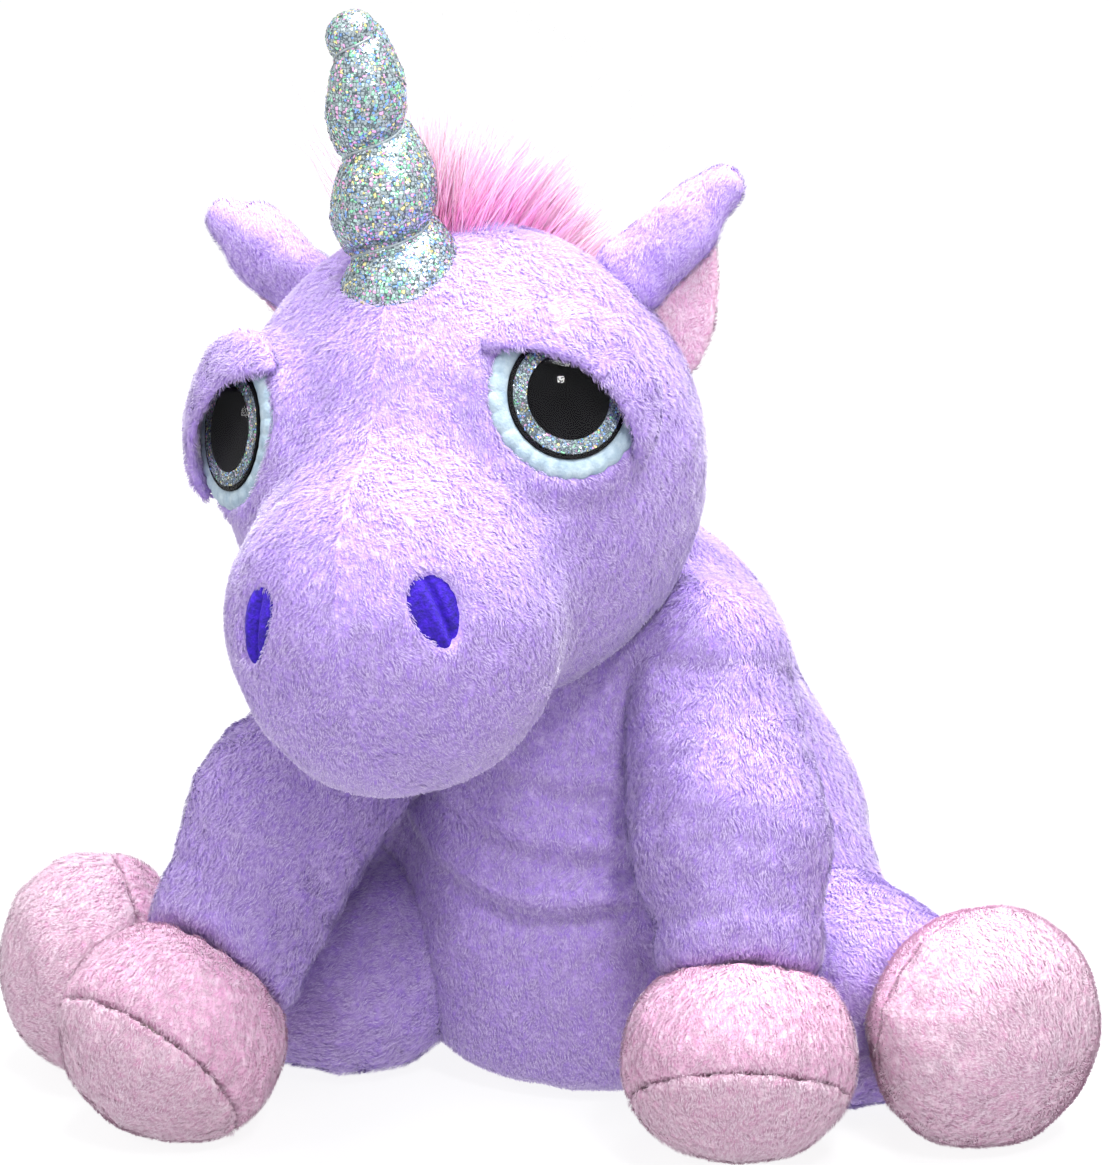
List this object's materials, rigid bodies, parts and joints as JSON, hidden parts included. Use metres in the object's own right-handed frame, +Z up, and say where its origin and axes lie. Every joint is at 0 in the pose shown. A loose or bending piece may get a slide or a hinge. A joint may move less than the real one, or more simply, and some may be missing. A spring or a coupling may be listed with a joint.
{
  "type": "plush unicorn",
  "caption": "Seated plush unicorn with a large turning head, glitter horn, domed eyes, fluffy mane and swinging stuffed legs that end in round hooves.",
  "frame": {"origin": "centre of the flat seat under the torso", "axes": "+Z up, the face looks along -Y, +X towards the toy's left side"},
  "size_m": [0.2969, 0.2518, 0.2996],
  "materials": {
    "lilac_plush": "short-pile lilac plush, directional nap",
    "lilac_long_pile": "longer lilac pile on the eyelids",
    "pink_plush": "short-pile pink plush",
    "pink_sole_plush": "short-pile pale pink plush on the soles",
    "pink_fur": "long fluffy pink fur, paler at its tips",
    "silver_glitter_knit": "silver knit printed with coloured glitter dots",
    "silver_thread": "silver sewing thread",
    "pale_felt": "thin pale blue-white felt with a scalloped edge",
    "violet_velvet": "deep blue-violet velvet",
    "clear_dome": "clear polished plastic",
    "glitter_foil": "silver foil with a fine honeycomb glitter",
    "black_plastic": "polished black",
    "white_plastic": "moulded white lock washer",
    "fibre_fill": "loose polyester fibre",
    "pellet_bag": "thin bag of plastic pellets"
  },
  "bodies": {
    "torso": {"torso_skin": "lilac_plush", "torso_stuffing": "fibre_fill", "seat_pellets": "pellet_bag", "tail": "pink_fur"},
    "neck": {"neck_stuffing": "fibre_fill"},
    "head": {"head_skin": "lilac_plush", "head_stuffing": "fibre_fill", "horn_skin": "silver_glitter_knit", "horn_stuffing": "fibre_fill", "horn_thread": "silver_thread", "mane": "pink_fur", "eye_left_surround": "pale_felt", "eye_left_backplate": "black_plastic", "eye_left_washer": "white_plastic", "eye_left_iris": "glitter_foil", "eye_left_pupil": "black_plastic", "eye_left_dome": "clear_dome", "eye_left_lid": "lilac_long_pile", "eye_right_surround": "pale_felt", "eye_right_backplate": "black_plastic", "eye_right_washer": "white_plastic", "eye_right_iris": "glitter_foil", "eye_right_pupil": "black_plastic", "eye_right_dome": "clear_dome", "eye_right_lid": "lilac_long_pile", "nostril_left": "violet_velvet", "nostril_right": "violet_velvet"},
    "ear_left": {"ear_left_shell": "lilac_plush", "ear_left_lining": "pink_plush"},
    "ear_right": {"ear_right_shell": "lilac_plush", "ear_right_lining": "pink_plush"},
    "foreleg_left": {"foreleg_left_skin": "lilac_plush", "foreleg_left_stuffing": "fibre_fill", "foreleg_left_hoof": "pink_plush", "foreleg_left_sole": "pink_sole_plush", "foreleg_left_pellets": "pellet_bag"},
    "foreleg_right": {"foreleg_right_skin": "lilac_plush", "foreleg_right_stuffing": "fibre_fill", "foreleg_right_hoof": "pink_plush", "foreleg_right_sole": "pink_sole_plush", "foreleg_right_pellets": "pellet_bag"},
    "hindleg_left": {"hindleg_left_skin": "lilac_plush", "hindleg_left_stuffing": "fibre_fill", "hindleg_left_hoof": "pink_plush", "hindleg_left_sole": "pink_sole_plush", "hindleg_left_pellets": "pellet_bag"},
    "hindleg_right": {"hindleg_right_skin": "lilac_plush", "hindleg_right_stuffing": "fibre_fill", "hindleg_right_hoof": "pink_plush", "hindleg_right_sole": "pink_sole_plush", "hindleg_right_pellets": "pellet_bag"}
  },
  "joints": [
    {"name": "neck_turn", "type": "hinge", "parent": "torso", "child": "neck", "pos_m": [-0.027, -0.058, 0.1765], "axis": [0, -0.6018, 0.7986], "range_deg": [-15, 15]},
    {"name": "head_nod", "type": "hinge", "parent": "neck", "child": "head", "pos_m": [-0.027, -0.058, 0.1765], "axis": [1, 0, 0], "range_deg": [-12, 8]},
    {"name": "foreleg_left_swing", "type": "hinge", "parent": "torso", "child": "foreleg_left", "pos_m": [0.041, -0.03, 0.118], "axis": [-0.9503, -0.3113, 0], "range_deg": [0, 30]},
    {"name": "foreleg_right_swing", "type": "hinge", "parent": "torso", "child": "foreleg_right", "pos_m": [-0.055, -0.034, 0.098], "axis": [-0.9342, 0.3569, 0], "range_deg": [0, 30]},
    {"name": "hindleg_left_swing", "type": "hinge", "parent": "torso", "child": "hindleg_left", "pos_m": [0.048, -0.006, 0.038], "axis": [0, 0, 1], "range_deg": [0, 30]},
    {"name": "hindleg_right_swing", "type": "hinge", "parent": "torso", "child": "hindleg_right", "pos_m": [-0.053, -0.02, 0.039], "axis": [0, 0, -1], "range_deg": [0, 30]},
    {"name": "ear_left_fold", "type": "hinge", "parent": "head", "child": "ear_left", "pos_m": [0.01945, -0.03036, 0.22248], "axis": [0.0144, 0.4703, 0.8824], "range_deg": [-15, 15]},
    {"name": "ear_right_fold", "type": "hinge", "parent": "head", "child": "ear_right", "pos_m": [-0.08715, -0.03408, 0.20558], "axis": [0.3182, -0.4586, -0.8297], "range_deg": [-15, 15]}
  ]
}
